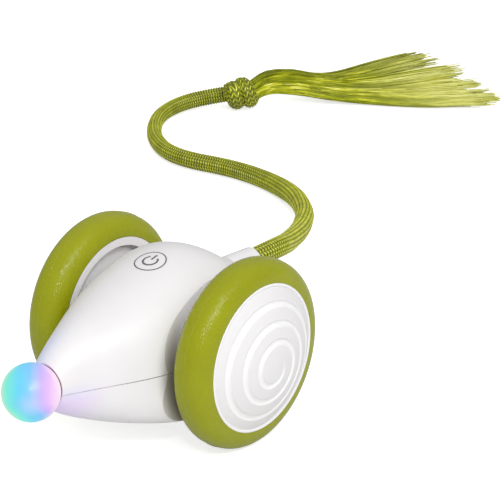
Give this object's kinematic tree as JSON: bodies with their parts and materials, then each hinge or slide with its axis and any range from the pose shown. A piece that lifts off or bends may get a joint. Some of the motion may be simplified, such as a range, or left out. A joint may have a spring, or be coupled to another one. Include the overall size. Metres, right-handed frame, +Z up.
{
  "type": "robotic mouse cat toy",
  "caption": "Teardrop white toy mouse slung between two green-tyred driven wheels with spiral-ribbed caps, a lit ball nose and a braided cord tail ending in a knot and tassel.",
  "frame": {"origin": "on the floor, midway between the wheels and midway from the nose ball to the end of the tail collar", "axes": "+Z up, +Y from the nose towards the tail, +X towards the mouse's left wheel, along both axles"},
  "size_m": [0.2273, 0.4074, 0.06],
  "materials": {
    "white_plastic": "satin moulded white plastic",
    "green_tread": "matt soft olive green tread with a fine grain",
    "milky_lens": "milky clear plastic lit from inside",
    "lamp_lens": "clear resin lamp",
    "circuit_board": "green lacquered circuit board",
    "chip_black": "matt black chip housings",
    "screw_steel": "bright plated steel screws",
    "pin_steel": "ground steel",
    "contact_foam": "dark conductive foam",
    "cell_wrap": "dull silver pouch",
    "port_steel": "plain plated steel",
    "lead_cover": "soft plastic wire cover",
    "grey_plastic": "matt pale grey plastic",
    "motor_can": "drawn steel can",
    "gear_brass": "plain turned brass",
    "gear_plastic": "natural low friction plastic",
    "green_braid": "glossy braided green thread",
    "green_thread": "loose glossy green thread"
  },
  "bodies": {
    "body": {"battery": "cell_wrap", "board_chips": "chip_black", "board_screws": "screw_steel", "charge_port": "port_steel", "gear_pins": "pin_steel", "gearbox_screws": "screw_steel", "inner_leads": "lead_cover", "left_bush": "grey_plastic", "left_gearbox": "grey_plastic", "left_gearbox_cover": "grey_plastic", "left_motor": "motor_can", "lower_shell": "white_plastic", "main_board": "circuit_board", "nose_board": "circuit_board", "nose_dome": "milky_lens", "nose_led": "lamp_lens", "port_board": "circuit_board", "right_bush": "grey_plastic", "right_gearbox": "grey_plastic", "right_gearbox_cover": "grey_plastic", "right_motor": "motor_can", "shell_screws": "screw_steel", "touch_pad": "contact_foam", "upper_shell": "white_plastic"},
    "left_wheel": {"left_tyre": "green_tread", "left_hub": "white_plastic", "left_hub_cap": "white_plastic", "left_axle": "pin_steel", "left_axle_screw": "screw_steel", "left_output_gear": "gear_plastic"},
    "right_wheel": {"right_tyre": "green_tread", "right_hub": "white_plastic", "right_hub_cap": "white_plastic", "right_axle": "pin_steel", "right_axle_screw": "screw_steel", "right_output_gear": "gear_plastic"},
    "left_gear_two_body": {"left_gear_two": "gear_plastic"},
    "left_gear_one_body": {"left_gear_one": "gear_plastic"},
    "left_pinion_body": {"left_pinion": "gear_brass"},
    "right_gear_two_body": {"right_gear_two": "gear_plastic"},
    "right_gear_one_body": {"right_gear_one": "gear_plastic"},
    "right_pinion_body": {"right_pinion": "gear_brass"},
    "tail": {"tail_sleeve": "white_plastic", "tail_cord": "green_braid", "tail_knot": "green_braid", "tail_tassel": "green_thread"}
  },
  "joints": [
    {"name": "left_wheel_spin", "type": "hinge", "parent": "body", "child": "left_wheel", "pos_m": [0.02935, 0.01665, 0.03], "axis": [1, 0, 0], "continuous": true},
    {"name": "left_gear_two_spin", "type": "hinge", "parent": "body", "child": "left_gear_two_body", "pos_m": [0.012, 0.00834, 0.02878], "axis": [1, 0, 0], "continuous": true},
    {"name": "left_gear_one_spin", "type": "hinge", "parent": "body", "child": "left_gear_one_body", "pos_m": [0.012, 0.00325, 0.03443], "axis": [1, 0, 0], "continuous": true},
    {"name": "left_pinion_spin", "type": "hinge", "parent": "body", "child": "left_pinion_body", "pos_m": [0.012, -0.00235, 0.029], "axis": [1, 0, 0], "continuous": true},
    {"name": "right_wheel_spin", "type": "hinge", "parent": "body", "child": "right_wheel", "pos_m": [-0.02935, 0.01665, 0.03], "axis": [1, 0, 0], "continuous": true},
    {"name": "right_gear_two_spin", "type": "hinge", "parent": "body", "child": "right_gear_two_body", "pos_m": [-0.012, 0.02496, 0.02878], "axis": [1, 0, 0], "continuous": true},
    {"name": "right_gear_one_spin", "type": "hinge", "parent": "body", "child": "right_gear_one_body", "pos_m": [-0.012, 0.03005, 0.03443], "axis": [1, 0, 0], "continuous": true},
    {"name": "right_pinion_spin", "type": "hinge", "parent": "body", "child": "right_pinion_body", "pos_m": [-0.012, 0.03565, 0.029], "axis": [1, 0, 0], "continuous": true},
    {"name": "tail_pull", "type": "slide", "parent": "body", "child": "tail", "axis": [0, 1, 0], "range_m": [0, 0.01]}
  ],
  "couplings": [
    {"joint": "left_gear_two_spin", "follows": "left_wheel_spin", "ratio": -3.2},
    {"joint": "left_gear_one_spin", "follows": "left_wheel_spin", "ratio": 8.96},
    {"joint": "left_pinion_spin", "follows": "left_wheel_spin", "ratio": -29.867},
    {"joint": "right_gear_two_spin", "follows": "right_wheel_spin", "ratio": -3.2},
    {"joint": "right_gear_one_spin", "follows": "right_wheel_spin", "ratio": 8.96},
    {"joint": "right_pinion_spin", "follows": "right_wheel_spin", "ratio": -29.867}
  ]
}
